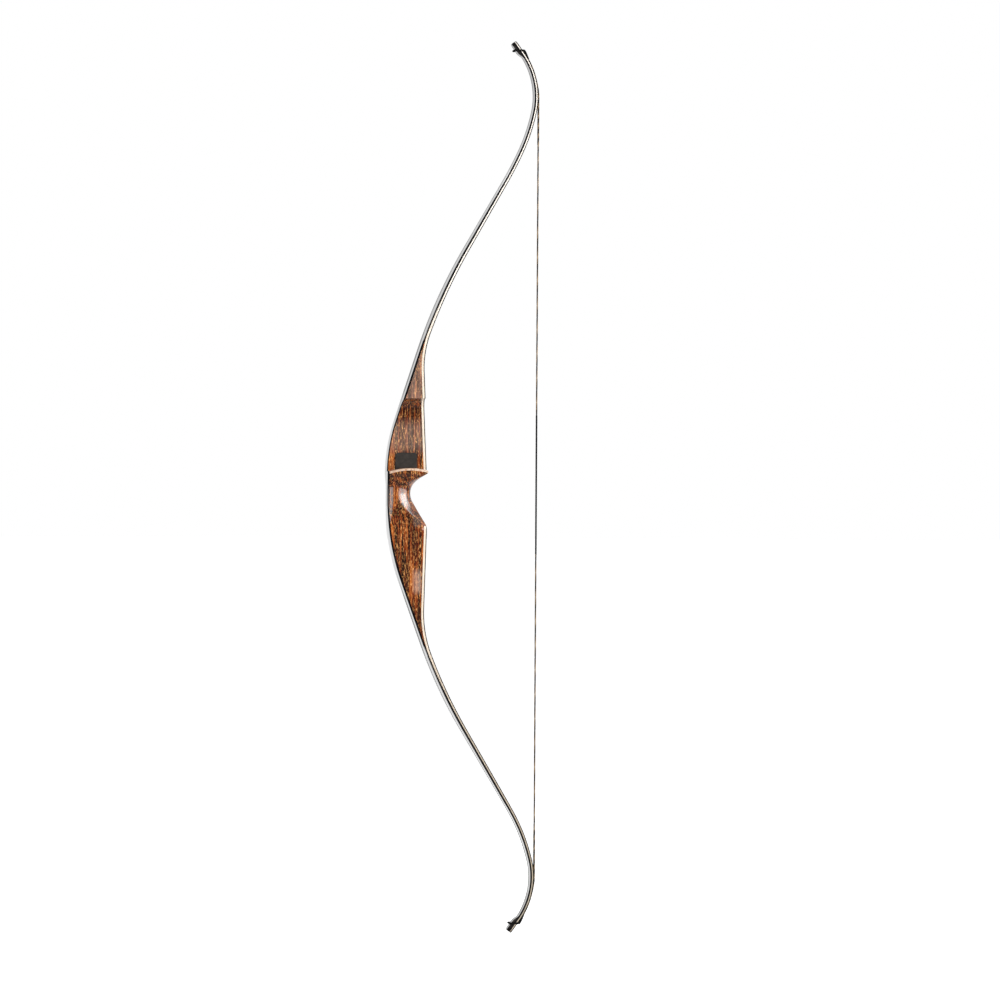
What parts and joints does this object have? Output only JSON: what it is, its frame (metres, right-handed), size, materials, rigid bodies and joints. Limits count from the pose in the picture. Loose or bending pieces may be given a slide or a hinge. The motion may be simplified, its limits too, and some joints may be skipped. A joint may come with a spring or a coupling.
{
  "type": "recurve bow",
  "caption": "Right-handed one-piece laminated recurve bow, strung: sculpted wood riser with sight window and arrow shelf, glass-faced limbs and a twisted string with centre serving.",
  "frame": {"origin": "deepest point of the grip's throat, where the web of the hand sits, on the bow's middle plane", "axes": "+Z along the string towards the upper tip, +X from the throat towards the string and the archer, -Y towards the sight window's side"},
  "size_m": [0.2503, 0.044, 1.4669],
  "materials": {
    "riser_wood": "clear high gloss over reddish brown wood with dark streaks",
    "core_maple": "clear gloss over pale maple",
    "black_glass": "glossy black fibreglass",
    "belly_glass": "satin black fibreglass",
    "tip_overlay": "glossy black",
    "side_plate": "matte charcoal",
    "string": "waxed two-colour twisted fibre, black and tan",
    "serving": "tightly wound black thread"
  },
  "bodies": {
    "riser": {"riser": "riser_wood", "side_plate": "side_plate", "back_glass_riser": "black_glass", "core_root_upper": "core_maple", "core_root_lower": "core_maple", "belly_glass_root_upper": "belly_glass", "belly_glass_root_lower": "belly_glass"},
    "upper_limb": {"back_glass_upper": "black_glass", "core_upper": "core_maple", "belly_glass_upper": "belly_glass", "tip_overlay_upper": "tip_overlay"},
    "lower_limb": {"back_glass_lower": "black_glass", "core_lower": "core_maple", "belly_glass_lower": "belly_glass", "tip_overlay_lower": "tip_overlay"},
    "upper_string_end": {"string_end_upper": "string"},
    "lower_string_end": {"string_end_lower": "string"},
    "upper_string": {"string_upper": "string", "centre_serving_upper": "serving"},
    "lower_string": {"string_lower": "string", "centre_serving_lower": "serving"}
  },
  "joints": [
    {"name": "draw", "type": "hinge", "parent": "riser", "child": "upper_limb", "pos_m": [0.06011, 0, 0.33611], "axis": [0, 1, 0], "range_deg": [0, 24.27], "stiffness_Nm_per_rad": 247, "springref_deg": -1.15},
    {"name": "lower_limb_flex", "type": "hinge", "parent": "riser", "child": "lower_limb", "pos_m": [0.06307, 0, -0.33045], "axis": [0, -1, 0], "range_deg": [0, 23.85], "stiffness_Nm_per_rad": 247, "springref_deg": -1.15},
    {"name": "upper_string_roll", "type": "hinge", "parent": "upper_limb", "child": "upper_string_end", "pos_m": [0.17603, 0, 0.72963], "axis": [0, -1, 0], "range_deg": [0, 30.04], "deforming": ["string_end_upper"]},
    {"name": "lower_string_roll", "type": "hinge", "parent": "lower_limb", "child": "lower_string_end", "pos_m": [0.17603, 0, -0.70592], "axis": [0, 1, 0], "range_deg": [0, 27.36], "deforming": ["string_end_lower"]},
    {"name": "upper_string_fold", "type": "hinge", "parent": "upper_string_end", "child": "upper_string", "pos_m": [0.2094, 0, 0.65391], "axis": [0, -1, 0], "range_deg": [0, 23.8], "deforming": ["string_upper", "centre_serving_upper"]},
    {"name": "lower_string_fold", "type": "hinge", "parent": "lower_string_end", "child": "lower_string", "pos_m": [0.2094, 0, -0.6302], "axis": [0, 1, 0], "range_deg": [0, 23.8], "deforming": ["string_lower", "centre_serving_lower"]}
  ],
  "couplings": [
    {"joint": "lower_limb_flex", "follows": "draw", "ratio": 0.982},
    {"joint": "upper_string_roll", "follows": "draw", "ratio": 1.237},
    {"joint": "lower_string_roll", "follows": "draw", "ratio": 1.1265},
    {"joint": "upper_string_fold", "follows": "draw", "ratio": 0.9799},
    {"joint": "lower_string_fold", "follows": "draw", "ratio": 0.9799}
  ]
}
